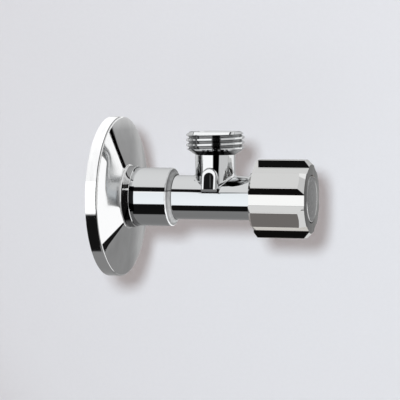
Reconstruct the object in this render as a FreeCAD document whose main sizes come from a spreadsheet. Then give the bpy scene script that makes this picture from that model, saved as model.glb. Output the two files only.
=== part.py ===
# Angle stop valve, multi-turn, with wall rosette, G1/2 wall inlet and G1/2 side outlet.
#
# Frame: millimetres, +Z up. The origin is where the valve axis meets the finished wall.
# +X runs out of the wall along the valve axis towards the knob, the outlet points to +Z.
# Front means towards +X, rear towards the wall.
# The valve is drawn closed: the seat washer rests on the seat.
import FreeCAD, Part
import Sketcher
import math
import os
from FreeCAD import Placement, Rotation, Vector

os.makedirs("parts", exist_ok=True)
doc = FreeCAD.newDocument("angle_stop_valve")

# alias, value in mm (or degrees, or a count), what it is
TABLE = [
    # pipe thread ISO 228 G1/2, used at the inlet and at the outlet
    ("g_major", 10.36, "thread crest radius, inside the class A tolerance"),
    ("g_minor", 9.3155, "thread root radius"),
    ("g_pitch", 1.8143, "thread pitch, 14 per inch"),
    # valve body, along the valve axis
    ("inlet_end", -6.7, "end face of the wall nipple"),
    ("inlet_cut_len", 9.4, "travel of the inlet thread cut"),
    ("collar_start", 3.6, "end of the plain run-out behind the thread"),
    ("collar_rad", 10.44, "collar the rosette slides on"),
    ("collar_end", 23.1, "front end of the collar"),
    ("tube_start", 24.7, "end of the cone between collar and tube"),
    ("tube_rad", 7.85, "headwork tube, outside"),
    ("tube_end", 57.0, "front end face of the tube"),
    ("inlet_bore", 6.0, "water way from the wall"),
    ("seat_bore", 4.5, "orifice in the seat"),
    ("seat_face", 31.0, "plane of the seat"),
    ("chamber_rad", 6.1, "valve chamber"),
    ("bonnet_bore", 6.53, "bore the headwork screws into"),
    # outlet branch, along Z at outlet_pos
    ("outlet_pos", 38.88, "outlet axis, distance from the wall"),
    ("neck_rad", 7.1, "outlet neck, outside"),
    ("neck_top", 15.35, "where the neck flares to the thread"),
    ("flare_top", 17.5, "start of the full thread"),
    ("thread_top", 22.5, "end of the full thread"),
    ("outlet_top", 23.5, "outlet sealing face"),
    ("outlet_bore", 5.2, "water way in the neck"),
    ("outlet_socket", 7.6, "wider bore behind the sealing face"),
    ("outlet_cut_start", 15.52, "centre of the outlet thread groove at its start"),
    ("outlet_cut_len", 9.0, "travel of the outlet thread cut"),
    ("saddle_fillet", 1.1, "blend between neck and tube"),
    ("collar_edge", 0.35, "rounding of the collar's front edge"),
    # arched lug where the neck meets the tube, on the -Y side
    ("lug_half", 2.85, "half width"),
    ("lug_crown", 11.0, "top of the arch"),
    ("lug_foot", 1.9, "lower end, on the tube"),
    ("lug_out", 7.85, "reach of the face at the top of the arch"),
    ("lug_low", 3.5, "lower end of the sloping face"),
    ("lug_belly", 9.15, "reach of the face at its lower end"),
    ("lug_edge", 0.6, "edge rounding"),
    # wall rosette, a pressed shell
    ("ros_rad", 28.8, "outside radius"),
    ("ros_rim", 4.35, "width of the straight rim"),
    ("ros_neck_start", 6.75, "where the cone meets the neck"),
    ("ros_neck_end", 9.75, "front edge of the neck"),
    ("ros_neck_rad", 11.0, "neck outside radius"),
    ("ros_bore", 10.54, "neck inside radius"),
    ("ros_sheet", 0.45, "sheet thickness"),
    ("ros_shoulder", 0.7, "rounding between rim and cone"),
    ("ros_throat", 0.8, "rounding between cone and neck"),
    # headwork
    ("bonnet_in", 44.3, "inner end of the bonnet"),
    ("bonnet_thread_in", 46.4, "start of the bonnet thread"),
    ("bonnet_thread_rad", 6.47, "bonnet thread, outside"),
    ("bonnet_pitch", 1.0, "bonnet thread pitch"),
    ("bonnet_cut_len", 10.4, "travel of the bonnet thread cut"),
    ("hex_start", 58.0, "rear face of the hexagon"),
    ("hex_end", 62.0, "front face of the hexagon"),
    ("hex_flats", 16.0, "across flats"),
    ("bonnet_top", 64.0, "front end of the bonnet"),
    ("bonnet_neck", 5.4, "bonnet neck radius"),
    ("bonnet_step", 52.3, "inside shoulder that stops the spindle"),
    ("bonnet_thread_bore", 4.56, "bore over the spindle thread"),
    ("stem_bore", 4.05, "bore over the spindle stem"),
    # spindle Tr 9 x 1.5
    ("spindle_in", 35.6, "inner end of the spindle"),
    ("spindle_thread", 4.5, "spindle thread, outside radius"),
    ("spindle_root", 3.65, "spindle thread, root radius"),
    ("spindle_pitch", 1.5, "spindle pitch"),
    ("spindle_cut_len", 15.0, "travel of the spindle thread cut"),
    ("spindle_step", 48.5, "end of the thread"),
    ("stem_rad", 4.0, "spindle stem radius"),
    ("ring_groove", 2.8, "bottom of the sealing ring grooves"),
    ("ring_one", 53.6, "start of the first groove"),
    ("ring_two", 56.7, "start of the second groove"),
    ("ring_groove_len", 1.6, "groove length"),
    ("ring_section", 0.61, "sealing ring section radius, squeezed"),
    ("spline_start", 64.9, "shoulder the knob insert sits on"),
    ("spindle_out", 68.6, "front end of the spindle"),
    ("spline_out", 3.6, "spline tip radius"),
    ("spline_root", 3.2, "spline root radius"),
    ("spline_gap", 0.04, "clearance of the spline socket"),
    ("screw_rad", 2.0, "M4 knob screw"),
    ("tapped_end", 61.0, "bottom of the tapped hole"),
    # washer carrier, seat washer and its screw
    ("carrier_back", 35.2, "face towards the spindle"),
    ("carrier_seat", 33.4, "face the washer lies on"),
    ("carrier_lip", 32.4, "rear edge of the cup, towards the seat"),
    ("carrier_rad", 5.9, "outside radius"),
    ("carrier_cup", 5.42, "inside radius of the cup"),
    ("carrier_hole", 1.53, "hole for the washer screw"),
    ("pin_rad", 2.0, "carrier pin in the spindle"),
    ("pin_end", 40.4, "end of the carrier pin"),
    ("clip_pos", 38.0, "start of the snap ring groove"),
    ("clip_len", 0.8, "snap ring groove length"),
    ("washer_rad", 5.35, "seat washer radius"),
    ("washer_hole", 1.55, "hole in the seat washer"),
    ("wscrew_rad", 1.5, "washer screw shank"),
    ("wscrew_head", 2.7, "washer screw head radius"),
    ("wscrew_head_len", 1.6, "washer screw head length"),
    ("wscrew_slot", 0.35, "half width of the slot"),
    ("wscrew_slot_deep", 0.8, "slot depth"),
    # knob
    ("knob_rear", 54.0, "rear rim"),
    ("knob_front", 73.9, "front face"),
    ("lobe_dist", 13.756, "axis to the flat of a lobe"),
    ("lobe_half", 2.94, "half width of the lobe flat"),
    ("flute_dist", 11.62, "axis to the floor of a flute"),
    ("flute_half", 1.835, "half width of the flute floor"),
    ("knob_phase", 0.7, "flute centre above the -Y direction, degrees"),
    ("knob_lobes", 6, "number of lobes"),
    ("face_rad", 12.15, "front face edge"),
    ("front_cham", 1.85, "length of the front cone"),
    ("rear_rad", 12.5, "rear rim radius"),
    ("rear_cham", 1.1, "length of the rear cone"),
    ("cavity_rad", 9.85, "inside of the skirt"),
    ("cavity_end", 64.6, "floor of the skirt"),
    ("insert_rad", 5.0, "radius of the knob's bore for the spline insert"),
    ("insert_end", 68.9, "front face of the insert"),
    ("web_end", 69.9, "face the screw pulls on"),
    ("lock_len", 0.8, "thickness of the lock washer"),
    ("screw_head", 3.6, "knob screw head radius"),
    ("recess_rad", 5.0, "screw recess radius"),
    ("cap_floor", 72.5, "floor of the cap seat"),
    ("cap_seat", 8.3, "cap seat radius"),
    ("cap_rad", 8.22, "index cap radius"),
    ("cap_front", 74.15, "front of the index cap"),
    ("cap_ring", 4.96, "spigot ring of the cap, outside"),
    ("knob_edge", 0.3, "edge rounding"),
]

SPLINE_TEETH = 16
SPLINE_ROOT_ANGLE = 6.6  # degrees from the middle of a tooth to its root corners
SPLINE_TIP_ANGLE = 4.0  # degrees from the middle of a tooth to its tip corners

# 55 degree pipe thread form, cut 0.2 beyond its depth so the groove opens in the air
PIPE_ROOT_HALF = 0.1
PIPE_CUT_DEPTH = 1.162 + 0.2
PIPE_MOUTH_HALF = PIPE_ROOT_HALF + PIPE_CUT_DEPTH * math.tan(math.radians(27.5))

EDGE_TOLERANCE = 0.02  # for recognising edges


# ------------------------------------------------------- driving dimensions
class Dim:
    """A number together with the spreadsheet expression it comes from."""

    def __init__(self, text, value):
        self.text = text
        self.value = float(value)

    def __add__(self, other):
        other = as_dim(other)
        return Dim(f"({self.text} + {other.text})", self.value + other.value)

    def __sub__(self, other):
        other = as_dim(other)
        return Dim(f"({self.text} - {other.text})", self.value - other.value)

    def __mul__(self, other):
        other = as_dim(other)
        return Dim(f"({self.text} * {other.text})", self.value * other.value)

    def __truediv__(self, other):
        other = as_dim(other)
        return Dim(f"({self.text} / {other.text})", self.value / other.value)

    def __neg__(self):
        return as_dim(0.0) - self


def as_dim(value):
    return value if isinstance(value, Dim) else Dim(repr(float(value)), value)


def cosd(angle):
    return Dim(f"cos({angle.text} * 1 deg)", math.cos(math.radians(angle.value)))


def sind(angle):
    return Dim(f"sin({angle.text} * 1 deg)", math.sin(math.radians(angle.value)))


class Dims:
    """The driving dimensions as attributes, each named by its alias."""


def fill_sheet():
    """Writes the table to the spreadsheet and returns its dimensions."""
    sheet = doc.addObject("Spreadsheet::Sheet", "dims")
    sheet.set("A1", "name")
    sheet.set("B1", "value")
    sheet.set("C1", "meaning")
    result = Dims()
    for row, (alias, value, note) in enumerate(TABLE, start=2):
        sheet.set(f"A{row}", alias)
        sheet.set(f"B{row}", repr(value))
        sheet.setAlias(f"B{row}", alias)
        sheet.set(f"C{row}", note)
        setattr(result, alias, Dim("dims." + alias, value))
    doc.recompute()
    return result


dims = fill_sheet()


def bind(owner, path, value):
    """Ties a property to the sheet if its value comes from there."""
    if isinstance(value, Dim) and "dims." in value.text:
        owner.setExpression(path, value.text)


def constrain(sketch, kind, elements, value):
    """Adds a dimensional constraint that follows the sheet."""
    index = sketch.addConstraint(Sketcher.Constraint(kind, *elements, value.value))
    bind(sketch, f"Constraints[{index}]", value)


# ------------------------------------------------------------ modelling tools
class Piece:
    """A body whose own origin lies on the valve axis at X = start.

    X positions are given from the wall and turned into body coordinates here.
    """

    def __init__(self, label, start):
        self.start = as_dim(start)
        self.body = doc.addObject("PartDesign::Body", label)
        self.body.Label = label
        self.body.Placement = Placement(Vector(self.start.value, 0, 0), Rotation())
        bind(self.body, ".Placement.Base.x", self.start)

    def local(self, x):
        return as_dim(x) - self.start

    def new_sketch(self, name, role, offset=None):
        """Empty sketch on, or parallel to, one of the body's origin planes."""
        sketch = self.body.newObject("Sketcher::SketchObject", name)
        plane = next(f for f in self.body.Origin.OriginFeatures if f.Role == role)
        sketch.AttachmentSupport = [(plane, "")]
        sketch.MapMode = "FlatFace"
        if offset is not None:
            sketch.AttachmentOffset = Placement(Vector(0, 0, offset.value), Rotation())
            bind(sketch, "AttachmentOffset.Base.z", offset)
        return sketch

    def polygon(self, name, role, points, offset=None):
        """Closed polyline sketch, each corner tied to the sheet."""
        sketch = self.new_sketch(name, role, offset)
        points = [(as_dim(across), as_dim(up)) for across, up in points]
        corners = [Vector(across.value, up.value, 0) for across, up in points]
        count = len(corners)
        for i in range(count):
            sketch.addGeometry(Part.LineSegment(corners[i], corners[(i + 1) % count]), False)
        for i in range(count):
            sketch.addConstraint(Sketcher.Constraint("Coincident", i, 2, (i + 1) % count, 1))
        for i, (across, up) in enumerate(points):
            for kind, value, zero_axis in (("DistanceX", across, -2), ("DistanceY", up, -1)):
                if abs(value.value) < 1e-9:
                    sketch.addConstraint(Sketcher.Constraint("PointOnObject", i, 1, zero_axis))
                else:
                    constrain(sketch, kind, (-1, 1, i, 1), value)
        return sketch

    def feature(self, kind, name, profile, **settings):
        """Adds a feature and makes sure that it really added or removed material."""
        feature = self.body.newObject("PartDesign::" + kind, name)
        feature.Profile = profile
        for key, value in settings.items():
            setattr(feature, key, value.value if isinstance(value, Dim) else value)
            bind(feature, key, value)
        before = self.body.Shape.Volume if len(self.body.Group) > 2 else 0.0
        doc.recompute()
        change = feature.Shape.Volume - before
        if kind not in ("Pad", "Revolution"):
            change = -change
        if before > 0 and change <= 1e-6:
            raise RuntimeError(name + " changed nothing")

    def turn(self, name, points, cut=False, angle=360):
        """Lathe work about the valve axis. Points are (X, radius)."""
        points = [(self.local(x), radius) for x, radius in points]
        profile = self.polygon(name + "_profile", "XZ_Plane", points)
        self.feature("Groove" if cut else "Revolution", name, profile,
                     ReferenceAxis=(profile, ["H_Axis"]), Angle=angle)

    def turn_up(self, name, points, cut=False):
        """Lathe work about the outlet axis. Points are (radius, Z)."""
        offset = self.local(dims.outlet_pos)
        profile = self.polygon(name + "_profile", "YZ_Plane", points, offset)
        self.feature("Groove" if cut else "Revolution", name, profile,
                     ReferenceAxis=(profile, ["V_Axis"]), Angle=360)

    def prism(self, name, points, at, length, cut=False):
        """Straight extrusion towards +X from X = at. Points are (Y, Z)."""
        profile = self.polygon(name + "_profile", "YZ_Plane", points, self.local(at))
        self.feature("Pocket" if cut else "Pad", name, profile,
                     Type=0, Length=length, Reversed=cut)

    def thread(self, name, centre, root, mouth, half_root, half_mouth, pitch, height,
               upright=False):
        """Cuts a right-hand thread about the valve axis or, upright, the outlet axis.

        The groove is a trapezoid centred on X (or Z) = centre, with its floor at
        radius root and its open side at radius mouth.
        """
        corners = [
            (centre - half_root, root),
            (centre + half_root, root),
            (centre + half_mouth, mouth),
            (centre - half_mouth, mouth),
        ]
        if upright:
            points = [(radius, z) for z, radius in corners]
            offset = self.local(dims.outlet_pos)
            profile = self.polygon(name + "_groove", "YZ_Plane", points, offset)
        else:
            points = [(self.local(x), radius) for x, radius in corners]
            profile = self.polygon(name + "_groove", "XZ_Plane", points)
        self.feature("SubtractiveHelix", name, profile,
                     ReferenceAxis=(profile, ["V_Axis" if upright else "H_Axis"]),
                     Mode=0, Pitch=pitch, Height=height, Angle=0, Growth=0,
                     LeftHanded=False, Reversed=False)

    def round_edges(self, name, radius, wanted):
        """Rounds the edges of the body for which wanted(edge) is true."""
        base = self.body.Tip
        names = [f"Edge{i}" for i, edge in enumerate(base.Shape.Edges, start=1) if wanted(edge)]
        if not names:
            raise RuntimeError(name + " found no edges")
        fillet = self.body.newObject("PartDesign::Fillet", name)
        fillet.Base = (base, names)
        fillet.Radius = radius.value
        bind(fillet, "Radius", radius)
        doc.recompute()
        if "Invalid" in fillet.State or fillet.Shape.isNull() or not fillet.Shape.isValid():
            raise RuntimeError(name + " failed")

    def circle_at(self, x, radius):
        """Returns the test for a circle about the valve axis at X = x."""
        centre = Vector(self.local(x).value, 0, 0)

        def wanted(edge):
            curve = edge.Curve
            return (
                curve.TypeId == "Part::GeomCircle"
                and near(curve.Radius, radius.value)
                and near((curve.Center - centre).Length, 0)
            )

        return wanted


def near(first, second):
    return abs(first - second) < EDGE_TOLERANCE


def spline_points(gap=0.0):
    """(Y, Z) outline of the spline, widened by gap for the socket."""
    corners = (
        (-SPLINE_ROOT_ANGLE, dims.spline_root),
        (-SPLINE_TIP_ANGLE, dims.spline_out),
        (SPLINE_TIP_ANGLE, dims.spline_out),
        (SPLINE_ROOT_ANGLE, dims.spline_root),
    )
    points = []
    for tooth in range(SPLINE_TEETH):
        for offset, radius in corners:
            angle = math.radians(360.0 * tooth / SPLINE_TEETH + offset)
            reach = radius + gap
            points.append((reach * math.cos(angle), reach * math.sin(angle)))
    return points


# ----------------------------------------------------------------- valve body
def add_lug(valve):
    """Arched boss on the -Y side, cut to a sloping face and rounded."""
    centre = valve.local(dims.outlet_pos)
    arc_centre = dims.lug_crown - dims.lug_half
    x, arc_z = centre.value, arc_centre.value
    half, foot = dims.lug_half.value, dims.lug_foot.value

    sketch = valve.new_sketch("lug_outline", "XZ_Plane")
    corners = [
        Vector(x - half, arc_z, 0),
        Vector(x - half, foot, 0),
        Vector(x + half, foot, 0),
        Vector(x + half, arc_z, 0),
    ]
    for first, second in zip(corners, corners[1:]):
        sketch.addGeometry(Part.LineSegment(first, second), False)
    circle = Part.Circle(Vector(x, arc_z, 0), Vector(0, 0, 1), half)
    sketch.addGeometry(Part.ArcOfCircle(circle, 0, math.pi), False)
    for rule in (
        ("Coincident", 0, 2, 1, 1), ("Coincident", 1, 2, 2, 1),
        ("Coincident", 2, 2, 3, 1), ("Coincident", 3, 2, 0, 1),
        ("Vertical", 0), ("Horizontal", 1), ("Vertical", 2),
        ("Horizontal", 3, 1, 3, 3), ("Horizontal", 3, 2, 3, 3),
    ):
        sketch.addConstraint(Sketcher.Constraint(*rule))
    constrain(sketch, "DistanceX", (-1, 1, 3, 3), centre)
    constrain(sketch, "DistanceY", (-1, 1, 3, 3), arc_centre)
    constrain(sketch, "DistanceY", (-1, 1, 1, 1), dims.lug_foot)
    constrain(sketch, "Radius", (3,), dims.lug_half)
    valve.feature("Pad", "lug", sketch, Type=0, Length=dims.lug_belly + 0.8)

    # waste outside the sloping face: (reach towards -Y, Z)
    waste = [
        (dims.lug_belly + 1.2, dims.lug_crown + 1.2),
        (dims.lug_out - 0.38, dims.lug_crown + 1.2),
        (dims.lug_out, dims.lug_crown),
        (dims.lug_belly, dims.lug_low),
        (dims.lug_belly - 0.55, dims.lug_low - 0.75),
        (dims.lug_belly - 1.75, dims.lug_foot - 0.1),
        (dims.lug_belly + 1.2, dims.lug_foot - 0.1),
    ]
    profile = valve.polygon("lug_face_profile", "YZ_Plane",
                            [(-reach, z) for reach, z in waste], centre)
    valve.feature("Pocket", "lug_face", profile, Type=0, Midplane=True, Length=8.0)

    lean = ((dims.lug_belly.value - dims.lug_out.value)
            / (dims.lug_crown.value - dims.lug_low.value))

    def on_front_edge(edge):
        """Where the wall of the arch meets the sloping face."""
        for part in (0.1, 0.5, 0.9):
            span = edge.LastParameter - edge.FirstParameter
            point = edge.valueAt(edge.FirstParameter + part * span)
            face_reach = dims.lug_out.value + (dims.lug_crown.value - point.z) * lean
            if point.z < arc_z + 0.01:
                wall = abs(point.x - x)
            else:
                wall = math.hypot(point.x - x, point.z - arc_z)
            if not near(-point.y, face_reach) or not near(wall, half):
                return False
        return True

    valve.round_edges("lug_round", dims.lug_edge, on_front_edge)


def make_valve_body():
    rear = dims.inlet_end
    valve = Piece("valve_body", rear)
    tube_chamfer = 0.4
    valve.turn("outer_form", [
        (rear, 0),
        (rear, dims.g_minor - 0.15),
        (rear + 1.3, dims.g_major),
        (dims.collar_start, dims.g_major),
        (dims.collar_start + 0.1, dims.collar_rad),
        (dims.collar_end, dims.collar_rad),
        (dims.tube_start, dims.tube_rad),
        (dims.tube_end - tube_chamfer, dims.tube_rad),
        (dims.tube_end, dims.tube_rad - tube_chamfer),
        (dims.tube_end, 0),
    ])
    valve.turn_up("outlet_branch", [
        (0, 0),
        (dims.neck_rad, 0),
        (dims.neck_rad, dims.neck_top),
        (dims.g_major, dims.flare_top),
        (dims.g_major, dims.thread_top),
        (dims.g_minor - 0.1, dims.outlet_top),
        (0, dims.outlet_top),
    ])

    def on_saddle(edge):
        point = edge.valueAt((edge.FirstParameter + edge.LastParameter) / 2)
        from_outlet_axis = math.hypot(point.x - valve.local(dims.outlet_pos).value, point.y)
        return (near(math.hypot(point.y, point.z), dims.tube_rad.value)
                and near(from_outlet_axis, dims.neck_rad.value))

    valve.round_edges("saddle_blend", dims.saddle_fillet, on_saddle)
    valve.round_edges("collar_edge_round", dims.collar_edge,
                      valve.circle_at(dims.collar_end, dims.collar_rad))
    add_lug(valve)

    inlet_chamfer = 0.6
    seat_relief = 0.5  # depth of the groove around the seat
    mouth_chamfer = 0.5
    valve.turn("main_bore", [
        (rear, 0),
        (rear, dims.inlet_bore + inlet_chamfer),
        (rear + inlet_chamfer, dims.inlet_bore),
        (dims.seat_face - 3.4, dims.inlet_bore),
        (dims.seat_face - 2.2, dims.seat_bore),
        (dims.seat_face, dims.seat_bore),
        (dims.seat_face, dims.seat_bore + 0.6),
        (dims.seat_face - seat_relief, dims.seat_bore + 1.0),
        (dims.seat_face - seat_relief, dims.chamber_rad),
        (dims.bonnet_thread_in - 0.8, dims.chamber_rad),
        (dims.bonnet_thread_in - 0.4, dims.bonnet_bore),
        (dims.tube_end - 0.6, dims.bonnet_bore),
        (dims.tube_end, dims.bonnet_bore + mouth_chamfer),
        (dims.tube_end, 0),
    ], cut=True)
    valve.turn_up("outlet_bore_cut", [
        (0, 0),
        (dims.outlet_bore, 0),
        (dims.outlet_bore, dims.flare_top - 0.4),
        (dims.outlet_socket, dims.flare_top + 1.6),
        (dims.outlet_socket, dims.outlet_top - mouth_chamfer),
        (dims.outlet_socket + mouth_chamfer, dims.outlet_top),
        (0, dims.outlet_top),
    ], cut=True)

    pipe_form = dict(
        root=dims.g_minor,
        mouth=dims.g_minor + PIPE_CUT_DEPTH,
        half_root=PIPE_ROOT_HALF,
        half_mouth=PIPE_MOUTH_HALF,
        pitch=dims.g_pitch,
    )
    valve.thread("outlet_thread", centre=dims.outlet_cut_start, height=dims.outlet_cut_len,
                 upright=True, **pipe_form)
    valve.thread("inlet_thread", centre=rear - 1.2, height=dims.inlet_cut_len, **pipe_form)
    return valve.body


# --------------------------------------------------------------- wall rosette
def make_rosette():
    rosette = Piece("wall_escutcheon", 0)
    front_chamfer = 0.1
    rosette.turn("shell", [
        (0, dims.ros_rad),
        (dims.ros_rim, dims.ros_rad),
        (dims.ros_neck_start, dims.ros_neck_rad),
        (dims.ros_neck_end - front_chamfer, dims.ros_neck_rad),
        (dims.ros_neck_end, dims.ros_neck_rad - front_chamfer),
        (dims.ros_neck_end, dims.ros_bore),
        (dims.ros_neck_start - dims.ros_sheet, dims.ros_bore),
        (dims.ros_rim - dims.ros_sheet, dims.ros_rad - dims.ros_sheet),
        (0, dims.ros_rad - dims.ros_sheet),
    ])
    rosette.round_edges("shoulder_round", dims.ros_shoulder,
                        rosette.circle_at(dims.ros_rim, dims.ros_rad))
    rosette.round_edges("throat_round", dims.ros_throat,
                        rosette.circle_at(dims.ros_neck_start, dims.ros_neck_rad))
    return rosette.body


# ------------------------------------------------------------------- headwork
def make_bonnet():
    rear = dims.bonnet_in
    bonnet = Piece("bonnet", rear)
    shank_rad = dims.chamber_rad - 0.1
    undercut_rad = dims.bonnet_thread_rad - 0.6
    hex_core = dims.hex_flats / 2 - 0.1  # stays inside the flats
    bonnet.turn("shank", [
        (rear, 0),
        (rear, dims.chamber_rad - 0.4),
        (rear + 0.3, shank_rad),
        (dims.bonnet_thread_in, shank_rad),
        (dims.bonnet_thread_in + 0.5, dims.bonnet_thread_rad),
        (dims.tube_end - 1.2, dims.bonnet_thread_rad),
        (dims.tube_end - 0.7, undercut_rad),
        (dims.hex_start, undercut_rad),
        (dims.hex_start, hex_core),
        (dims.hex_end, hex_core),
        (dims.hex_end, dims.bonnet_neck),
        (dims.bonnet_top - 0.4, dims.bonnet_neck),
        (dims.bonnet_top, dims.bonnet_neck - 0.4),
        (dims.bonnet_top, 0),
    ])
    corner = dims.hex_flats / 2 * (2 / math.sqrt(3))
    angles = [math.radians(60 * k) for k in range(6)]
    bonnet.prism("hexagon", [(corner * math.cos(a), corner * math.sin(a)) for a in angles],
                 at=dims.hex_start, length=dims.hex_end - dims.hex_start)
    # the corners of the hexagon are turned down at the front
    bonnet.turn("corner_turning", [
        (dims.hex_end, dims.hex_flats / 2),
        (dims.hex_end, dims.hex_flats / 2 + 2.0),
        (dims.hex_end - 1.15, dims.hex_flats / 2 + 2.0),
    ], cut=True)
    bonnet.turn("spindle_bore", [
        (rear, 0),
        (rear, dims.bonnet_thread_bore + 0.4),
        (rear + 0.4, dims.bonnet_thread_bore),
        (dims.bonnet_step, dims.bonnet_thread_bore),
        (dims.bonnet_step, dims.stem_bore),
        (dims.bonnet_top - 0.3, dims.stem_bore),
        (dims.bonnet_top, dims.stem_bore + 0.3),
        (dims.bonnet_top, 0),
    ], cut=True)
    bonnet.thread(
        "bonnet_thread",
        centre=dims.bonnet_thread_in - 0.7,
        root=dims.bonnet_thread_rad - 0.55,
        mouth=dims.bonnet_thread_rad + 0.12,
        half_root=0.06,
        half_mouth=0.46,
        pitch=dims.bonnet_pitch,
        height=dims.bonnet_cut_len,
    )
    return bonnet.body


def make_gasket():
    """Flat ring between the tube and the hexagon."""
    gasket = Piece("bonnet_gasket", dims.tube_end)
    inside = dims.bonnet_thread_rad + 0.1
    outside = dims.tube_rad - 0.1
    gasket.turn("ring", [
        (dims.tube_end, inside),
        (dims.hex_start, inside),
        (dims.hex_start, outside),
        (dims.tube_end, outside),
    ])
    return gasket.body


def make_spindle():
    rear = dims.spindle_in
    spindle = Piece("spindle", rear)
    ring_grooves = []
    for groove_start in (dims.ring_one, dims.ring_two):
        groove_end = groove_start + dims.ring_groove_len
        ring_grooves += [
            (groove_start, dims.stem_rad),
            (groove_start, dims.ring_groove),
            (groove_end, dims.ring_groove),
            (groove_end, dims.stem_rad),
        ]
    spindle.turn("turned_form", [
        (rear, 0),
        (rear, dims.spindle_thread - 0.6),
        (rear + 0.6, dims.spindle_thread),
        (dims.spindle_step, dims.spindle_thread),
        (dims.spindle_step, dims.stem_rad),
        *ring_grooves,
        (dims.spline_start, dims.stem_rad),
        (dims.spline_start, dims.spline_root),
        (dims.spindle_out, dims.spline_root),
        (dims.spindle_out, 0),
    ])
    spindle.prism("spline", spline_points(), at=dims.spline_start,
                  length=dims.spindle_out - dims.spline_start)
    socket_rad = dims.pin_rad + 0.05
    clip_room = dims.pin_rad + 0.7
    clip_end = dims.clip_pos + dims.clip_len
    spindle.turn("pin_socket", [
        (rear, 0),
        (rear, dims.pin_rad + 0.35),
        (rear + 0.3, socket_rad),
        (dims.clip_pos, socket_rad),
        (dims.clip_pos, clip_room),
        (clip_end, clip_room),
        (clip_end, socket_rad),
        (dims.pin_end + 0.4, socket_rad),
        (dims.pin_end + 1.6, 0),
    ], cut=True)
    spindle.turn("tapped_hole", [
        (dims.tapped_end - 1.1, 0),
        (dims.tapped_end, dims.screw_rad),
        (dims.spindle_out - 0.3, dims.screw_rad),
        (dims.spindle_out, dims.screw_rad + 0.3),
        (dims.spindle_out, 0),
    ], cut=True)
    spindle.thread(
        "spindle_thread_cut",
        centre=rear - 1.0,
        root=dims.spindle_root,
        mouth=dims.spindle_thread + 0.12,
        half_root=0.27,
        half_mouth=0.55,
        pitch=dims.spindle_pitch,
        height=dims.spindle_cut_len,
    )
    return spindle.body


def sealing_ring(name, groove_start):
    """Round-section ring about the valve axis, lying in the middle of its groove."""
    ring = doc.addObject("Part::Torus", name)
    centre_rad = dims.ring_groove + 0.01 + dims.ring_section
    ring.Radius1 = centre_rad.value
    ring.Radius2 = dims.ring_section.value
    bind(ring, "Radius1", centre_rad)
    bind(ring, "Radius2", dims.ring_section)
    middle = groove_start + dims.ring_groove_len / 2
    ring.Placement = Placement(Vector(middle.value, 0, 0), Rotation(Vector(0, 1, 0), 90))
    bind(ring, ".Placement.Base.x", middle)
    return ring


def make_o_rings():
    rings = doc.addObject("Part::Compound", "spindle_o_rings")
    rings.Label = "spindle_o_rings"
    rings.Links = [
        sealing_ring("o_ring_inner", dims.ring_one),
        sealing_ring("o_ring_outer", dims.ring_two),
    ]
    return rings


# ------------------------------------------------ washer carrier and its parts
def make_carrier():
    """Cup for the seat washer, with a grooved pin towards the spindle."""
    rear = dims.carrier_lip
    carrier = Piece("washer_carrier", rear)
    edge_chamfer = 0.3
    groove_rad = dims.pin_rad - 0.45
    clip_end = dims.clip_pos + dims.clip_len
    carrier.turn("cup_and_pin", [
        (dims.carrier_seat, 0),
        (dims.carrier_seat, dims.carrier_cup),
        (rear, dims.carrier_cup),
        (rear, dims.carrier_rad - 0.1),
        (dims.carrier_back - edge_chamfer, dims.carrier_rad),
        (dims.carrier_back, dims.carrier_rad - edge_chamfer),
        (dims.carrier_back, dims.pin_rad),
        (dims.clip_pos, dims.pin_rad),
        (dims.clip_pos, groove_rad),
        (clip_end, groove_rad),
        (clip_end, dims.pin_rad),
        (dims.pin_end - edge_chamfer, dims.pin_rad),
        (dims.pin_end, dims.pin_rad - edge_chamfer),
        (dims.pin_end, 0),
    ])
    carrier.turn("washer_screw_hole", [
        (dims.carrier_seat, 0),
        (dims.carrier_seat, dims.carrier_hole),
        (dims.carrier_seat + 2.6, dims.carrier_hole),
        (dims.carrier_seat + 3.4, 0),
    ], cut=True)
    return carrier.body


def make_snap_ring():
    clip = Piece("carrier_snap_ring", dims.clip_pos)
    rear = dims.clip_pos + 0.05
    front = dims.clip_pos + dims.clip_len - 0.05
    inside = dims.pin_rad - 0.42
    outside = dims.pin_rad + 0.62
    clip.turn("wire", [(rear, inside), (front, inside), (front, outside), (rear, outside)],
              angle=318)
    return clip.body


def make_seat_washer():
    washer = Piece("seat_washer", dims.seat_face)
    chamfer = 0.25
    washer.turn("disc", [
        (dims.seat_face, dims.washer_hole),
        (dims.seat_face, dims.washer_rad - chamfer),
        (dims.seat_face + chamfer, dims.washer_rad),
        (dims.carrier_seat, dims.washer_rad),
        (dims.carrier_seat, dims.washer_hole),
    ])
    return washer.body


def make_washer_screw():
    rear = dims.seat_face - dims.wscrew_head_len
    tip = dims.carrier_seat + 2.5
    tip_chamfer = 0.3
    screw = Piece("washer_screw", rear)
    screw.turn("form", [
        (rear, 0),
        (rear, dims.wscrew_head - 0.6),
        (rear + 0.5, dims.wscrew_head),
        (dims.seat_face, dims.wscrew_head),
        (dims.seat_face, dims.wscrew_rad),
        (tip - tip_chamfer, dims.wscrew_rad),
        (tip, dims.wscrew_rad - tip_chamfer),
        (tip, 0),
    ])
    half_length = 3.0
    half = dims.wscrew_slot
    screw.prism("slot", [
        (-half_length, -half), (half_length, -half), (half_length, half), (-half_length, half),
    ], at=rear, length=dims.wscrew_slot_deep, cut=True)
    return screw.body


# ----------------------------------------------------------------------- knob
def knob_outline():
    """(Y, Z) corners: a flute floor, then a lobe flat, repeated around the axis."""
    lobes = int(dims.knob_lobes.value)
    step = 360.0 / lobes
    flats = (
        (0, dims.flute_half, dims.flute_dist),
        (step / 2, dims.lobe_half, dims.lobe_dist),
    )
    points = []
    for lobe in range(lobes):
        for offset, half, distance in flats:
            # direction of this flat, measured from -Y towards +Z
            angle = dims.knob_phase + (step * lobe + offset)
            for along in (-half, half):
                y = -(distance * cosd(angle)) + along * sind(angle)
                z = distance * sind(angle) + along * cosd(angle)
                points.append((y, z))
    return points


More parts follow.
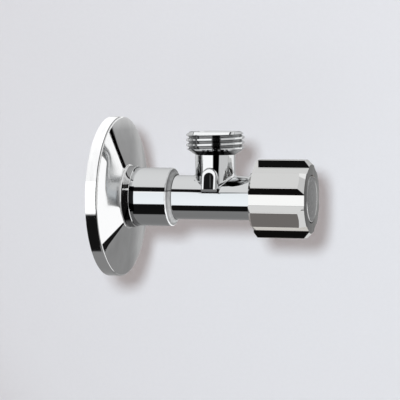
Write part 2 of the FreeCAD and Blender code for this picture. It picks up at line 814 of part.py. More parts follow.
def make_knob():
    rear, front = dims.knob_rear, dims.knob_front
    length = front - rear
    knob = Piece("knob", rear)
    knob.prism("lobed_bar", knob_outline(), at=rear, length=length)
    knob.round_edges(
        "long_edges", dims.knob_edge,
        lambda edge: edge.Curve.TypeId == "Part::GeomLine"
        and abs(edge.Length - length.value) < 0.01,
    )
    clear_rad = dims.lobe_dist + 2.0  # outside the lobes
    knob.turn("front_turning", [
        (front, dims.face_rad),
        (front, clear_rad),
        (front - dims.front_cham * 2.0, clear_rad),
        (front - dims.front_cham, dims.lobe_dist + 0.08),
    ], cut=True)
    knob.turn("rear_turning", [
        (rear, dims.rear_rad),
        (rear + dims.rear_cham, dims.lobe_dist + 0.28),
        (rear + dims.rear_cham, clear_rad),
        (rear, clear_rad),
    ], cut=True)
    screw_hole = dims.screw_rad + 0.2
    skirt_chamfer = 0.4
    seat_chamfer = 0.2
    knob.turn("skirt_cavity", [
        (rear, 0),
        (rear, dims.cavity_rad + skirt_chamfer),
        (rear + skirt_chamfer, dims.cavity_rad),
        (dims.cavity_end, dims.cavity_rad),
        (dims.cavity_end, dims.insert_rad),
        (dims.insert_end, dims.insert_rad),
        (dims.insert_end, screw_hole),
        (dims.web_end, screw_hole),
        (dims.web_end, dims.recess_rad),
        (dims.cap_floor, dims.recess_rad),
        (dims.cap_floor, dims.cap_seat),
        (front - seat_chamfer, dims.cap_seat),
        (front, dims.cap_seat + seat_chamfer),
        (front, 0),
    ], cut=True)
    return knob.body


def make_spline_insert():
    """Bush in the knob with a splined socket right through it."""
    insert = Piece("knob_spline_insert", dims.spline_start)
    outside = dims.insert_rad - 0.02
    insert.turn("bush", [
        (dims.spline_start, 0),
        (dims.spline_start, outside),
        (dims.insert_end, outside),
        (dims.insert_end, 0),
    ])
    profile = insert.polygon("socket_profile", "YZ_Plane", spline_points(dims.spline_gap),
                             as_dim(0.0))
    insert.feature("Pocket", "socket", profile, Type=1, Midplane=True)
    return insert.body


def make_lock_washer():
    rear = dims.web_end
    front = rear + dims.lock_len
    inside = dims.screw_rad + 0.1
    outside = dims.screw_rad + 1.5
    lock = Piece("screw_lock_washer", rear)
    lock.turn("coil", [(rear, inside), (front, inside), (front, outside), (rear, outside)],
              angle=350)
    return lock.body


def make_handle_screw():
    rear = dims.tapped_end + 0.4
    head = dims.web_end + dims.lock_len
    shank_rad = dims.screw_rad - 0.03
    screw = Piece("handle_screw", rear)
    screw.turn("form", [
        (rear, 0),
        (rear, 1.5),
        (rear + 0.5, shank_rad),
        (head, shank_rad),
        (head, dims.screw_head),
        (head + 0.9, dims.screw_head),
        (head + 1.35, dims.screw_head - 0.5),
        (head + 1.55, 2.2),
        (head + 1.55, 0),
    ])
    # cross recess: each arm has two outer corners and one inner corner
    arm_reach, arm_half = 2.0, 0.42
    cross = []
    for arm in range(4):
        angle = math.radians(90 * arm)
        for out, side in ((arm_reach, -arm_half), (arm_reach, arm_half), (arm_half, arm_half)):
            y = out * math.cos(angle) - side * math.sin(angle)
            z = out * math.sin(angle) + side * math.cos(angle)
            cross.append((y, z))
    screw.prism("cross_recess", cross, at=head + 0.45, length=3.0, cut=True)
    return screw.body


def make_index_cap():
    """Shallow disc with a dished front and a spigot ring at the rear."""
    rear = dims.cap_floor - 1.4
    ring_inside = dims.cap_ring - 0.6
    cap = Piece("index_cap", rear)
    cap.turn("form", [
        (rear, ring_inside),
        (rear, dims.cap_ring - 0.15),
        (rear + 0.2, dims.cap_ring),
        (dims.cap_floor, dims.cap_ring),
        (dims.cap_floor, dims.cap_rad),
        (dims.cap_front - 0.35, dims.cap_rad),
        (dims.cap_front - 0.1, dims.cap_rad - 0.12),
        (dims.cap_front, dims.cap_rad - 0.4),
        (dims.cap_front - 0.12, dims.cap_rad - 0.85),
        (dims.cap_front - 0.05, 0),
        (dims.cap_floor + 0.5, 0),
        (dims.cap_floor + 0.5, ring_inside),
    ])
    return cap.body


# ------------------------------------------------------ build, check and write
pieces = [
    make_valve_body(),
    make_rosette(),
    make_bonnet(),
    make_gasket(),
    make_spindle(),
    make_o_rings(),
    make_carrier(),
    make_snap_ring(),
    make_seat_washer(),
    make_washer_screw(),
    make_knob(),
    make_spline_insert(),
    make_lock_washer(),
    make_handle_screw(),
    make_index_cap(),
]
doc.recompute()
for item in doc.Objects:
    if "Invalid" in item.State or "Error" in item.State:
        raise RuntimeError(f"{item.Name} ({item.Label}) is {item.State}")
for piece in pieces:
    if piece.Shape.isNull() or not piece.Shape.isValid() or piece.Shape.Volume <= 0:
        raise RuntimeError("bad shape: " + piece.Label)
for piece in pieces:
    piece.Shape.exportStep(f"parts/{piece.Label}.step")
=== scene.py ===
# A chrome-plated angle valve for a wall. Its main axis runs along X: the rosette is at
# the -X end, the knob at the +X end, and the threaded outlet points up (+Z). The camera
# looks from the -Y side. The plating mirrors a studio painted as cards on the world, and
# each plated piece bends its normals to steer what it mirrors and tones its colour with
# painted shade, painted dark reflections and painted highlights.
import bpy
import math
from mathutils import Vector, Matrix

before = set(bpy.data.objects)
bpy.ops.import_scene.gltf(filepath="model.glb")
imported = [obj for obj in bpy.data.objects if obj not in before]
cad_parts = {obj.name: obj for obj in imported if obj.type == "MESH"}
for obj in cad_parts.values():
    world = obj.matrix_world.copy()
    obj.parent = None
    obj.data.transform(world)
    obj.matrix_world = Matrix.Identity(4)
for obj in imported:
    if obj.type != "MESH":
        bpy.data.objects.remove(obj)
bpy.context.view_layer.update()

scene = bpy.context.scene
scene.view_settings.view_transform = "Standard"
scene.view_settings.look = "None"
scene.view_settings.exposure = 0.0
scene.view_settings.gamma = 1.0

DEG = 57.29578         # degrees in a radian
BODY_REFLECT = 0.80    # reflectance of the body plating
ROSETTE_REFLECT = 0.97


# ---------------------------------------------------------------- shader expressions
# Type of a mix node: place of its first colour or value input, place of its output.
MIX_SOCKETS = {"FLOAT": (2, 0), "VECTOR": (4, 1), "RGBA": (6, 2)}


class Net:
    """A node tree, emptied and then filled from Python expressions."""

    def __init__(self, owner):
        owner.use_nodes = True
        self.tree = owner.node_tree
        self.tree.nodes.clear()
        self.x = 0

    def add(self, kind, inputs={}, **props):
        """Add a node; inputs maps the name or place of a socket to a number or a Value."""
        node = self.tree.nodes.new(kind)
        self.x += 40
        node.location = (self.x, 0)
        for name, setting in props.items():
            setattr(node, name, setting)
        for key, value in inputs.items():
            if isinstance(value, Value):
                self.tree.links.new(value.socket, node.inputs[key])
            else:
                node.inputs[key].default_value = value
        return node

    def make(self, kind, inputs={}, output=0, **props):
        """Add a node and return one of its outputs."""
        return Value(self, self.add(kind, inputs, **props).outputs[output])

    def outputs(self, node, *keys):
        return [Value(self, node.outputs[key]) for key in keys]

    def math(self, operation, *values):
        return self.make("ShaderNodeMath", dict(enumerate(values)), operation=operation)

    def vector(self, *parts):
        return self.make("ShaderNodeCombineXYZ", dict(enumerate(parts)))

    def mix(self, kind, factor, low, high, mode="MIX"):
        first, output = MIX_SOCKETS[kind]
        return self.make("ShaderNodeMix", {0: factor, first: low, first + 1: high}, output,
                         data_type=kind, blend_type=mode)


class Value:
    """An output socket that can be used in arithmetic. A mask is a value from 0 to 1."""

    def __init__(self, net, socket):
        self.net = net
        self.socket = socket

    def math(self, operation, *others):
        return self.net.math(operation, self, *others)

    def __add__(self, other):
        return self.math("ADD", other)

    def __sub__(self, other):
        return self.math("SUBTRACT", other)

    def __rsub__(self, other):
        return self.net.math("SUBTRACT", other, self)

    def __mul__(self, other):
        return self.math("MULTIPLY", other)

    def __or__(self, other):
        """The larger of two values: the union of two masks."""
        return self.math("MAXIMUM", other)

    def angle(self, base):
        """Angle in degrees whose tangent is self / base."""
        return self.math("ARCTAN2", base) * DEG

    def ramp(self, start, end, low, high):
        """Straight line from low at start to high at end, flat outside."""
        return self.net.make("ShaderNodeMapRange", {
            "Value": self, "From Min": start, "From Max": end, "To Min": low, "To Max": high,
        }, "Result")

    def step(self, start, end):
        """Smooth mask, 0 before start and 1 past end. It falls when start > end."""
        inputs = {"Value": self, "From Min": min(start, end), "From Max": max(start, end)}
        if start > end:
            inputs.update({"To Min": 1.0, "To Max": 0.0})
        return self.net.make("ShaderNodeMapRange", inputs, "Result",
                             interpolation_type="SMOOTHSTEP")

    def band(self, start, end, soft):
        """Mask that is 1 between start and end, with ends soft to either side."""
        return self.step(start - soft, start + soft) * self.step(end + soft, end - soft)

    def curve(self, points):
        """Straight lines through (self, result) points, flat outside them."""
        total = points[0][1]
        for (x0, y0), (x1, y1) in zip(points, points[1:]):
            if abs(y1 - y0) >= 1e-9:
                total = self.ramp(x0, x1, 0.0, y1 - y0) + total
        return total

    def mix(self, low, high):
        """Number low where this mask is 0, high where it is 1."""
        return self.net.mix("FLOAT", self, low, high)

    def pick(self, low, high):
        """Vector low where this mask is 0, high where it is 1."""
        return self.net.mix("VECTOR", self, low, high)

    def dim(self, mask, factor):
        """This value, times factor where the mask is 1."""
        return self * mask.mix(1.0, factor)

    def split(self):
        return self.net.outputs(self.net.add("ShaderNodeSeparateXYZ", {0: self}), 0, 1, 2)

    def scaled(self, *factors):
        return self.net.make("ShaderNodeVectorMath", {0: self, 1: factors},
                             operation="MULTIPLY")

    def noise(self, scale, detail=2.0, rough=0.5, distort=0.0):
        return self.net.make("ShaderNodeTexNoise", {
            "Vector": self, "Scale": scale, "Detail": detail, "Roughness": rough,
            "Distortion": distort}, "Fac")


def hypot(first, second):
    return (first * first + second * second).math("SQRT")


def linear(display):
    """Display value 0..255 to scene-linear."""
    level = display / 255.0
    return level / 12.92 if level <= 0.04045 else ((level + 0.055) / 1.055) ** 2.4


def glow(display, reflect=BODY_REFLECT):
    """Studio brightness that metal of this reflectance shows as the display value."""
    return linear(display) / reflect


# ---------------------------------------------------------------- studio seen by the metal
# Room brightness: (elevation in degrees, display value on the body plating).
ROOM = [(-90, 116), (-60, 116), (-40, 122), (-22, 142), (-8, 166), (10, 180), (45, 205),
        (90, 214)]
ROOM_FRONT = [(-90, 122), (-66, 116), (-60, 114), (-30, 114), (30, 208), (90, 212)]
# Cards: azimuth from, to; elevation from, to; edge softness in azimuth, in elevation
# (all degrees); display value. Later cards cover earlier ones.
# Azimuth 0 is -Y, +90 is +X.
FRONT_CARDS = [
    (-70, -60, -63, 44, 1.5, 1.5, 22),       # black frame left of the front light
    (-60, 40, -62.5, -40, 2, 1.3, 17),       # black flag below the front light
    (-61, 2, -41.0, 28.5, 2.0, 1.0, 248),    # front light
    (-61, 40, 28.8, 43.5, 2.0, 1.4, 17),     # black flag above the front light
    (2, 38, -62, 60, 4.0, 3, 16),            # black flag right of the front light
    (38, 100, -25, 70, 3, 5, 194),           # large card on the right
]
# Behind the valve, seen by the rosette. Azimuth 0 is +Y, +90 is -X.
BACK_CARDS = [
    (-80, -29.0, -34, 60, 2, 4, 252),        # white card
    (-29.6, -27.0, -50, 80, 0.25, 2, 12),    # its thin black edge
]
CAMERA_SKY = (linear(220), linear(221), linear(225), 1)
DIFFUSE_SKY = (0.417, 0.345, 0.332, 1)


def build_world():
    world = bpy.data.worlds.new("studio")
    scene.world = world
    net = Net(world)
    x, y, z = net.make("ShaderNodeTexCoord", output="Generated").split()
    azimuth = x.angle(y * -1.0)
    back_azimuth = (x * -1.0).angle(y)
    elevation = z.math("MAXIMUM", -1.0).math("MINIMUM", 1.0).math("ARCSINE") * DEG

    room, room_front = (elevation.curve([(angle, glow(display)) for angle, display in table])
                        for table in (ROOM, ROOM_FRONT))
    studio = azimuth.band(-73, 57, 5).mix(room, room_front)
    for around_z, cards, reflect in ((azimuth, FRONT_CARDS, BODY_REFLECT),
                                     (back_azimuth, BACK_CARDS, ROSETTE_REFLECT)):
        for left, right, bottom, top, side_soft, end_soft, display in cards:
            mask = around_z.band(left, right, side_soft) * elevation.band(bottom, top, end_soft)
            studio = mask.mix(studio, glow(display, reflect))

    # a slight blue cast
    colour = net.make("ShaderNodeCombineColor", {0: studio * 0.995, 1: studio, 2: studio * 1.004})
    mirrored, seen, diffused = (net.make("ShaderNodeBackground", {"Color": sky})
                                for sky in (colour, CAMERA_SKY, DIFFUSE_SKY))
    is_diffuse, is_camera = net.outputs(net.add("ShaderNodeLightPath"),
                                        "Is Diffuse Ray", "Is Camera Ray")
    sky = net.make("ShaderNodeMixShader", {0: is_diffuse, 1: mirrored, 2: diffused})
    sky = net.make("ShaderNodeMixShader", {0: is_camera, 1: sky, 2: seen})
    net.add("ShaderNodeOutputWorld", {"Surface": sky})


build_world()

# ---------------------------------------------------------------- plated pieces
# Normals that mirror to the camera
TO_SKY = (0.161, -0.831, 0.532)       # the pale ceiling,
TO_FRONT = (-0.074, -0.997, -0.017)   # the front light,
TO_CARD = (0.823, -0.485, -0.297)     # the card on the right

# Uneven turning: (true facing, facing used for the mirror image). A facing is the angle
# of a normal about the X axis, in degrees, 0 at -Y and rising towards +Z.
COLLAR = [(-180, -180), (-90, -90), (-33, -31.8), (-10.5, -19.6), (0, 0), (13.5, 17.0),
          (22.5, 24.9), (90, 90), (180, 180)]
TUBE_LOW = [(-180, -180), (-90, -90), (-34, -31.8), (-17.9, -19.6), (0, 0)]
TUBE_WALL_END = TUBE_LOW + [(90, 90), (180, 180)]
TUBE_KNOB_END = TUBE_LOW + [(15.9, 15.9), (16.3, 18.0), (17.3, 19.0), (17.5, 26.5), (90, 90),
                            (180, 180)]
RIM = [(-180, -180), (-90, -90), (-38.3, -31.8), (-8.4, -19.6), (0, 0), (13.9, 12.0),
       (14.0, 8.0), (70, 12.0), (84, 14.0), (84.1, 28), (95, 90), (180, 180)]
NECK = [(-180, -180), (-95, -90), (-72, -31.5), (15.3, -20.5), (15.4, 10), (18.3, 14),
        (18.4, 17.8), (27, 24.3), (27.1, 30), (90, 90), (180, 180)]
KNOB = [(-180, -180), (-95, -90), (-63.5, -88), (-63.4, 60), (-55, 60), (-54.9, -60),
        (-37, -50), (-36.9, -26), (-32.5, -26), (-32.4, -34.5), (-27, -34.5), (-26.9, -26),
        (-19.6, -19.6), (0, 0), (14, 14), (22, 21), (28, 22), (28.1, 30), (90, 90), (180, 180)]
# Lower part of the rosette's cone: (angle of the place, facing used).
CONE_LOW = [(-90, -120), (-30.0, -64.0), (-26.5, -62.5), (-26.0, -44.0), (-19.5, -42.0),
            (0, -10)]
CONE_UP = [(-180, -180), (180, 180)]

# Painted tones of shade and reflection: (place or angle, factor on the reflectance). Places are
# in metres.
BODY_CONE_PAINTED_REFLECTION = [(0.0, 1.25), (0.14, 1.2), (0.24, 0.30), (0.34, 0.45), (0.62, 0.68),
                  (0.86, 0.62), (0.93, 0.12), (1.0, 0.3)]    # 0..1 along the cone
FAR_PAINTED_TONE_Y = [(-0.020, 0.56), (-0.010, 0.53), (0.004, 0.54), (0.009, 0.62), (0.014, 0.80),
              (0.019, 0.88), (0.0245, 0.70)]
FAR_PAINTED_TONE_Z = [(0.0195, 1.0), (0.0240, 1.15), (0.0285, 1.9)]
RIM_PAINTED_TONE = [(13.9, 1.0), (14.0, 0.82), (35, 0.85), (45, 0.96), (80, 0.96), (100, 0.75)]
KNOB_FACE_PAINTED_SHADE = [(-0.0138, 0.20), (-0.0110, 0.26), (-0.004, 0.42), (0.004, 0.50),
                  (0.010, 0.62), (0.0138, 0.75)]
CAP_PAINTED_SHADE = [(-0.009, 0.36), (-0.004, 0.50), (0.003, 0.56), (0.009, 0.70)]

LUG_X = 0.03880       # middle of the lug's face
OUTLET_X = 0.03888    # axis of the outlet


def axis_angles(normal):
    """The normal's parts, its facing about X, and its length across X."""
    normal_x, normal_y, normal_z = normal.split()
    facing = normal_z.angle(normal_y * -1.0)
    return normal_x, normal_y, normal_z, facing, hypot(normal_y, normal_z)


def around(axial, radial, facing):
    """Direction with the given part along X, length across X and facing."""
    turn = facing * (1 / DEG)
    return axial.net.vector(axial, radial * turn.math("COSINE") * -1.0,
                            radial * turn.math("SINE"))


# Each remap takes the true normal and the position, and returns the normal to mirror with,
# the red, green and blue factors of painted shade and painted highlights, and the added
# roughness (or None). Masks are written as steps and bands of places in metres, of angles
# in degrees, or of parts of the normal.
def remap_body(normal, position):
    x, y, z = position.split()
    normal_x, normal_y, normal_z, facing, radial = axis_angles(normal)

    # collar and tube, where the surface is nearly parallel to the axis
    side = normal_x.math("ABSOLUTE").step(0.35, 0.25)
    collar = around(normal_x, radial, facing.curve(COLLAR))
    tube_facing = x.step(0.0405, 0.0425).mix(facing.curve(TUBE_WALL_END),
                                             facing.curve(TUBE_KNOB_END))
    tube = around(normal_x, radial, tube_facing)
    bent = (x.step(0.0237, 0.0232) * side).pick(normal, collar)
    on_tube = x.step(0.0248, 0.0250) * (side * z.step(0.0060, 0.0045))
    bent = on_tube.pick(bent, tube)

    # cone between collar and tube: painted reflection, dull and streaked, with a painted
    # highlight along its edge, painted dark bands, and darker towards the top
    cone = normal_x.step(0.2, 0.4) * x.band(0.0229, 0.0249, 0.00003)
    bent = cone.pick(bent, z.step(0.0035, 0.0015).pick(TO_SKY, TO_FRONT))
    along = x.ramp(0.0230, 0.0247, 0.0, 1.0)
    painted_streak = position.scaled(1500.0, 260.0, 260.0).noise(1.0, detail=3.0, rough=0.7)
    tone = along.curve(BODY_CONE_PAINTED_REFLECTION) * painted_streak.ramp(0.35, 0.65, 0.72, 1.12)
    shade = cone.mix(1.0, tone * z.ramp(-0.008, 0.002, 0.95, 0.72))

    # painted shade: the gap next to the rosette's neck painted dark
    gap_painted_shade = x.step(0.01155, 0.01140) * facing.band(-26.0, 24.0, 1.0)
    shade = shade.dim(gap_painted_shade * side, 0.012)

    # lug face on the -Y side: painted dark reflection inside a bright arched border, with a paler
    # painted streak
    lug_across = x - LUG_X
    arch_radius = hypot(lug_across, (z - 0.0075) | 0.0)
    face = normal_y.step(-0.93, -0.96) * (y.step(-0.0074, -0.0076)
                                          * z.band(0.0021, 0.0110, 0.0001))
    # painted dark reflection inside the arch
    inner = face * arch_radius.step(0.00190, 0.00172)
    lug_painted_streak = ((lug_across + (z - 0.006) * 0.05).band(0.00045, 0.00075, 0.0001)
            * z.band(0.0040, 0.0085, 0.0006))
    shade = shade.dim(inner, lug_painted_streak.mix(0.009, 0.09))

    # painted shade: a thin darker line along the outline
    graze_painted_shade = normal.net.make("ShaderNodeLayerWeight", {"Blend": 0.5}, "Facing")
    shade = shade.dim(graze_painted_shade.step(0.86, 0.96) * side, 0.60)

    # outlet: painted shade in the thread roots, and a bright bevel at the top
    thread = z.step(0.0165, 0.0175)
    outlet_radius = hypot(x - OUTLET_X, y)
    root_painted_shade = (thread * z.step(0.0228, 0.0226)) * (
        outlet_radius.step(0.00900, 0.00915) * outlet_radius.ramp(0.00935, 0.01000, 1.0, 0.0))
    shade = shade.dim(root_painted_shade, 0.42)
    bevel = (z.step(0.02245, 0.02265) * normal_z.band(0.3, 0.93, 0.03)) * (
        x.band(0.0330, 0.0462, 0.0012) * outlet_radius.step(0.0088, 0.0090))
    bent = bevel.pick(bent, TO_FRONT)

    # painted shade under the outlet's flare, and painted dark reflections in stripes down its
    # neck
    flare_painted_shade = (normal_z.step(-0.3, -0.5) * z.band(0.01535, 0.01690, 0.0001)) * x.band(
        0.0332, 0.0462, 0.0009)
    shade = shade.dim(flare_painted_shade, 0.03)
    turn = normal_x.angle(normal_y * -1.0)
    on_neck = z.band(0.0079, 0.01535, 0.0001) * (
        outlet_radius.step(0.0074, 0.0072) * outlet_radius.step(0.0068, 0.0070))
    painted_dark_stripes = turn.band(-36.5, -29.5, 0.8) | turn.band(9.5, 26.5, 0.8)
    shade = shade.dim(on_neck * painted_dark_stripes, 0.012)

    # painted reflection tone: a cool tint, darker towards the top, where the sides mirror the
    # front light
    cool_painted_reflection = (side * z.step(0.0076, 0.0072)) * (facing.band(-21.0, 18.0, 1.0) * (1.0 - face))
    shades = [shade.dim(cool_painted_reflection, facing.ramp(-8.0, 14.0, tint, tint * 0.95))
              for tint in (0.900, 0.935, 0.960)]
    return bent, shades, thread * 0.06


def remap_rosette(normal, position):
    x, y, z = position.split()
    normal_x, _, _, facing, radial = axis_angles(normal)
    rim = around(normal_x, radial, facing.curve(RIM))
    neck = around(normal_x, radial, facing.curve(NECK))

    # pressed cone: shallow above and below, fuller on the side facing -Y.
    # place is the angle about the axis; low is taken about a point below the axis.
    place = z.angle(y * -1.0)
    low = (z + 0.0060).angle(y * -1.0)
    lower_half = z.step(-0.0005, -0.0035)
    shallow = place.step(44.0, 58.0) | low.step(-7.0, -18.0) * lower_half
    on_low = lower_half * y.step(0.004, -0.002)
    shallow_facing = on_low.mix(place.curve(CONE_UP), low.curve(CONE_LOW))
    cone_facing = shallow.mix(place * 1.5 - 20.0, shallow_facing)
    slope = shallow.mix(20.0, 9.4) * (1 / DEG)
    cone = around(slope.math("COSINE"), slope.math("SINE"), cone_facing)
    is_cone = normal_x.step(0.90, 0.97) * x.step(0.0040, 0.0043)
    is_neck = normal_x.step(0.5, 0.4) * x.step(0.0064, 0.0067)

    # brighter towards the rim and below the axis, on the side facing -Y
    radius = hypot(y, z)
    lit = (radius.step(0.0200, 0.0246) * place.band(-34.0, 40.0, 9.0)
           | z.step(-0.0015, -0.0045) * (low.step(-22.0, -21.6) * y.step(-0.001, -0.003)))
    cone = lit.pick(cone, TO_CARD)
    bent = is_neck.pick(is_cone.pick(rim, cone), neck)

    # painted reflection: the neck darkened, with streaks
    painted_streak = position.scaled(2200.0, 120.0, 120.0).noise(1.0, detail=3.0, rough=0.7)
    shade = is_neck.mix(1.0, painted_streak.ramp(0.35, 0.65, 0.62, 0.84))

    # painted dark reflections: a crease from the neck up to the rim and a wedge below, a cloudy
    # painted tone beyond both, and a painted glint near the far rim
    crease_offset = (y + 0.0048) * -0.8221 + (z - 0.0108) * -0.5696
    upper = z.step(0.004, 0.006)
    painted_crease = upper * crease_offset.band(-0.00085, 0.00085, 0.00012)
    painted_wedge = lower_half * y.step(0.001, -0.001) * low.band(-28.6, -21.4, 0.35)
    beyond_low = lower_half * low.step(-28.2, -29.0) | lower_half * y.step(-0.001, 0.001)
    beyond = upper * crease_offset.step(-0.0006, -0.0009) | (beyond_low | y.step(0.0, 0.004))
    cloud = position.noise(130.0)
    far_painted_tone = y.curve(FAR_PAINTED_TONE_Y) * cloud.ramp(0.3, 0.7, 0.94, 1.06) * z.curve(FAR_PAINTED_TONE_Z)
    painted_glint = radius.step(0.0276, 0.0280) * y.step(0.008, 0.012) * 0.97
    shade = shade.dim(is_cone * beyond, (far_painted_tone | painted_glint).math("MINIMUM", 1.0))
    shade = shade.dim(is_cone * (painted_crease | painted_wedge), 0.009)

    # painted shade: the inside of the shell darkened, mottled
    inside_shade_noise = position.scaled(60.0, 60.0, 60.0).noise(1.0, detail=4.0, rough=0.6)
    shade = shade.dim(normal_x.step(-0.2, -0.5), inside_shade_noise.ramp(0.3, 0.7, 0.38, 0.62))

    # pressed rim: painted reflection tone, bright, with soft darker bands
    is_rim = x.step(0.0044, 0.0043) * normal_x.step(0.3, 0.2)
    fibre = position.scaled(420.0, 60.0, 60.0).noise(1.0, detail=3.0, rough=0.6)
    rim_painted_tone = facing.curve(RIM_PAINTED_TONE).dim(facing.step(13.9, 14.0),
                                          fibre.ramp(0.35, 0.65, 0.90, 1.05))
    shade = shade.dim(is_rim, rim_painted_tone)
    return bent, [shade] * 3, is_cone * (1.0 - shallow) * (1.0 - lit) * 0.18


def remap_knob(normal, position):
    x, y, z = position.split()
    normal_x, _, normal_z, facing, radial = axis_angles(normal)
    side = around(normal_x, radial, facing.curve(KNOB))

    # the rounded end of the upper lobe, on the wall side, keeps its true normal
    plain = (x + y * 0.296).step(0.05455, 0.05440) * z.step(0.0070, 0.0078)
    bent = plain.pick(side, normal)

    # lower half of the bevel round the +X face
    bevel = normal_x.band(0.25, 0.93, 0.02) * z.step(-0.0025, -0.0035)
    bent = bevel.pick(bent, TO_FRONT)

    # turned +X face: painted shade, darker towards -Y; the lower bevel's reflection is painted
    # darker too
    face = normal_x.step(0.96, 0.98) * x.step(0.0700, 0.0705)
    swirl = position.scaled(1.0, 500.0, 90.0).noise(1.0, detail=3.0, rough=0.6)
    tone = y.curve(KNOB_FACE_PAINTED_SHADE) * swirl.ramp(0.3, 0.7, 0.88, 1.10)
    shade = bevel.mix(face.mix(1.0, tone), 0.68)

    # painted reflection tone: a warm, darker tint on the downward sides, fainter on the underside
    below_painted_tint = normal_z.step(-0.15, -0.3) * (1.0 - bevel)
    deep = normal_z.step(-0.65, -0.80)
    shades = [shade.dim(below_painted_tint, deep.mix(tint, deep_tint))
              for tint, deep_tint in ((0.83, 0.895), (0.775, 0.880), (0.75, 0.865))]
    return bent, shades, face * 0.06


def remap_cap(normal, position):
    _, y, z = position.split()
    normal_x = normal.split()[0]

    # brushed face with a few broad concentric waves, under painted shade that is darker towards
    # -Y
    waves = (hypot(y, z) * (2 * math.pi / 0.0021)).math("SINE")
    tone = y.curve(CAP_PAINTED_SHADE) * waves.ramp(-1.0, 1.0, 0.96, 1.04)
    brush = position.scaled(1.0, 2400.0, 260.0).noise(1.0, detail=4.0, rough=0.7)
    tone = tone * brush.ramp(0.3, 0.7, 0.86, 1.10)

    # painted highlight: light caught by the bevel, low on the -Y side
    arc_painted_highlight = normal_x.step(0.97, 0.93) * (z.step(0.0, -0.003) * y.step(0.004, 0.0))
    return normal, [arc_painted_highlight.mix(tone, 1.25)] * 3, None


def new_material(name):
    material = bpy.data.materials.new(name)
    return material, Net(material)


def plated(name, reflect=BODY_REFLECT, tint=(1, 1, 1), rough=0.03, remap=None, grime=0.06,
           local=False):
    """Chrome plating: mirror metal with faint orange peel, polishing haze and wipes."""
    material, net = new_material(name)
    coords = net.make("ShaderNodeTexCoord", output="Object")
    normal, position = net.outputs(net.add("ShaderNodeNewGeometry"), "Normal", "Position")
    shades = extra_rough = None
    if remap:
        normal, shades, extra_rough = remap(normal, coords if local else position)

    peel = coords.noise(260.0)
    swirl = coords.noise(1900.0, detail=3.0, rough=0.6, distort=0.8)
    bump = net.make("ShaderNodeBump", {"Strength": 0.12, "Distance": 0.00002,
                                       "Height": peel * 1.0 + swirl * 0.12, "Normal": normal})

    haze = coords.noise(90.0, detail=4.0, rough=0.6)
    wipe = coords.scaled(60.0, 900.0, 900.0).noise(1.0, detail=3.0)
    roughness = (haze.ramp(0.35, 0.75, rough * 0.6, rough * 1.5)
                 + wipe.ramp(0.55, 0.8, 0.0, rough * 0.8))
    clean = tuple(reflect * part for part in tint) + (1,)
    dirty = tuple(reflect * worn * part for worn, part in zip((0.86, 0.87, 0.9), tint)) + (1,)
    colour = net.mix("RGBA", haze.ramp(0.3, 0.8, 0.0, grime), clean, dirty)
    # multiply in the remap's painted shade, painted dark reflections and painted highlights
    if shades is not None:
        colour = net.mix("RGBA", 1.0, colour, net.vector(*shades), "MULTIPLY")
    if extra_rough is not None:
        roughness = roughness + extra_rough
    metal = net.make("ShaderNodeBsdfAnisotropic",
                     {"Color": colour, "Roughness": roughness, "Normal": bump})
    net.add("ShaderNodeOutputMaterial", {"Surface": metal})
    return material


def plain(name, color, rough, metal=0.0, grain=800.0, bump=0.2, rings=0.0, vary=0.2):
    """Grainy surface; rings is the height of turning marks across X, vary the mottling."""
    material, net = new_material(name)
    coords = net.make("ShaderNodeTexCoord", output="Object")
    fine = coords.noise(grain, detail=4.0, rough=0.6, distort=0.3)
    slow = coords.noise(grain * 0.12, detail=3.0)
    height = fine
    if rings:
        marks = (coords.split()[0] * (2 * math.pi / 0.00022)).math("SINE")
        height = fine * 0.3 + marks * rings
    normal = net.make("ShaderNodeBump", {"Strength": bump, "Distance": 0.00005,
                                         "Height": height})
    dark = tuple(part * (1 - vary) for part in color) + (1,)
    light = tuple(min(1, part * (1 + vary)) for part in color) + (1,)
    surface = net.make("ShaderNodeBsdfPrincipled", {
        "Base Color": net.mix("RGBA", slow.ramp(0.3, 0.7, 0.0, 1.0), dark, light),
        "Roughness": fine.ramp(0.3, 0.7, rough * 0.75, min(1, rough * 1.3)),
        "Metallic": metal, "Normal": normal})
    net.add("ShaderNodeOutputMaterial", {"Surface": surface})
    return material


# Each material with the pieces that wear it.
FINISHES = [
    (plated("chrome_body", tint=(0.985, 0.995, 1.0), remap=remap_body), ["valve_body"]),
    (plated("chrome_rosette", reflect=ROSETTE_REFLECT, rough=0.04, remap=remap_rosette,
            local=True), ["wall_escutcheon"]),
    (plated("chrome_knob", tint=(1.0, 0.998, 0.985), remap=remap_knob), ["knob"]),
    (plated("satin_cap", reflect=0.80, rough=0.20, remap=remap_cap), ["index_cap"]),
    (plated("chrome_headwork", reflect=0.72, rough=0.06, grime=0.15), ["bonnet"]),
    (plain("turned_brass", color=(0.72, 0.50, 0.20), rough=0.25, metal=1.0, grain=900.0,
           bump=0.25, rings=0.5), ["spindle", "washer_carrier", "knob_spline_insert"]),
    (plain("black_rubber", color=(0.02, 0.02, 0.021), rough=0.6, grain=1500.0, bump=0.3),
     ["spindle_o_rings", "seat_washer"]),
    (plain("red_fibre", color=(0.35, 0.10, 0.05), rough=0.8, grain=2500.0, bump=0.5, vary=0.35),
     ["bonnet_gasket"]),
    (plain("bright_steel", color=(0.55, 0.55, 0.56), rough=0.25, metal=1.0, grain=1500.0,
           rings=0.4),
     ["carrier_snap_ring", "washer_screw", "screw_lock_washer", "handle_screw"]),
]
for finish, pieces in FINISHES:
    for piece in pieces:
        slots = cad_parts[piece].data.materials
        slots.clear()
        slots.append(finish)

# ---------------------------------------------------------------- camera
AZIMUTH = math.radians(16.471)     # from -Y towards +X
ELEVATION = math.radians(3.889)
ROLL = math.radians(-0.224)
DISTANCE = 0.65779
TARGET = Vector((0.033102, 0.0, -0.000944))

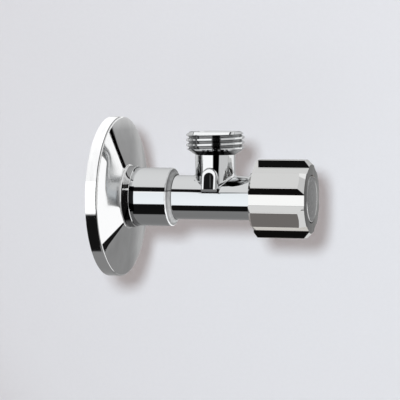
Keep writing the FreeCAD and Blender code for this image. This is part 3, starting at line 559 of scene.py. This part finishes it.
to_camera = Vector((math.sin(AZIMUTH) * math.cos(ELEVATION),
                    -math.cos(AZIMUTH) * math.cos(ELEVATION), math.sin(ELEVATION)))
camera_point = TARGET + to_camera * DISTANCE


def add_object(name, data):
    thing = bpy.data.objects.new(name, data)
    scene.collection.objects.link(thing)
    return thing


def add_camera():
    data = bpy.data.cameras.new("camera")
    camera = add_object("camera", data)
    scene.camera = camera
    data.sensor_width = 36.0
    data.lens = 165.924
    data.clip_start, data.clip_end = 0.01, 20
    forward = -to_camera
    right = forward.cross(Vector((0, 0, 1))).normalized()
    upward = right.cross(forward)
    cosine, sine = math.cos(ROLL), math.sin(ROLL)
    axes = (cosine * right + sine * upward, -sine * right + cosine * upward, to_camera)
    camera.matrix_world = Matrix(axes).transposed().to_4x4()
    camera.location = camera_point


add_camera()

# ---------------------------------------------------------------- paper sheets and light
PAPER = (0.80, 0.80, 0.80, 1)
BACKDROP_CENTRE = Vector((0.0382, 0.0800, 0.0))
FLOOR_CENTRE = Vector((0.033, 0.0, -0.16))


def paper(name, centre, inner, outer):
    """Matte paper, fading out from inner to outer radius and invisible from behind."""
    material, net = new_material(name)
    position, backfacing = net.outputs(net.add("ShaderNodeNewGeometry"),
                                       "Position", "Backfacing")
    offset = net.make("ShaderNodeVectorMath", {0: position, 1: tuple(centre)},
                      operation="SUBTRACT")
    distance = net.make("ShaderNodeVectorMath", {0: offset}, "Value", operation="LENGTH")
    grain = position.scaled(1, 1, 1).noise(700.0, detail=3.0, rough=0.6)
    tone = grain.ramp(0.3, 0.7, 0.985, 1.0)
    colour = net.mix("RGBA", 1.0, PAPER, net.vector(tone, tone, tone), "MULTIPLY")
    surface = net.make("ShaderNodeMixShader", {
        0: distance.step(inner, outer) | backfacing,
        1: net.make("ShaderNodeBsdfDiffuse", {"Color": colour}),
        2: net.make("ShaderNodeBsdfTransparent")})
    net.add("ShaderNodeOutputMaterial", {"Surface": surface})
    return material


def add_sheet(name, centre, normal, size, material):
    """Square sheet that mirrors don't see."""
    mesh = bpy.data.meshes.new(name)
    across = normal.orthogonal().normalized()
    along = normal.cross(across)
    corners = ((-1, -1), (1, -1), (1, 1), (-1, 1))
    half = size / 2
    mesh.from_pydata([centre + across * half * i + along * half * j for i, j in corners],
                     [], [(0, 1, 2, 3)])
    mesh.materials.append(material)
    sheet = add_object(name, mesh)
    sheet.visible_glossy = False


def add_key():
    """Small cool disk beside the camera, to its left and above, aimed at the backdrop."""
    data = bpy.data.lights.new("key", "AREA")
    data.shape = "DISK"
    data.size = 0.055
    data.energy = 3.15
    data.color = (0.816, 0.917, 1.0)
    key = add_object("key", data)
    camera_right = Vector((math.cos(AZIMUTH), math.sin(AZIMUTH), 0.0))
    key.location = camera_point - camera_right * 0.044 + Vector((0, 0, 0.041))
    key.rotation_mode = "QUATERNION"
    key.rotation_quaternion = (BACKDROP_CENTRE - key.location).to_track_quat("-Z", "Y")
    key.visible_glossy = False
    key.visible_camera = False


add_sheet("studio_backdrop", BACKDROP_CENTRE, normal=Vector((0, -1, 0)), size=0.60,
          material=paper("backdrop_paper", BACKDROP_CENTRE, inner=0.12, outer=0.24))
add_sheet("studio_floor", FLOOR_CENTRE, normal=Vector((0, 0, 1)), size=3.0,
          material=paper("floor_paper", FLOOR_CENTRE, inner=0.5, outer=1.4))
add_key()
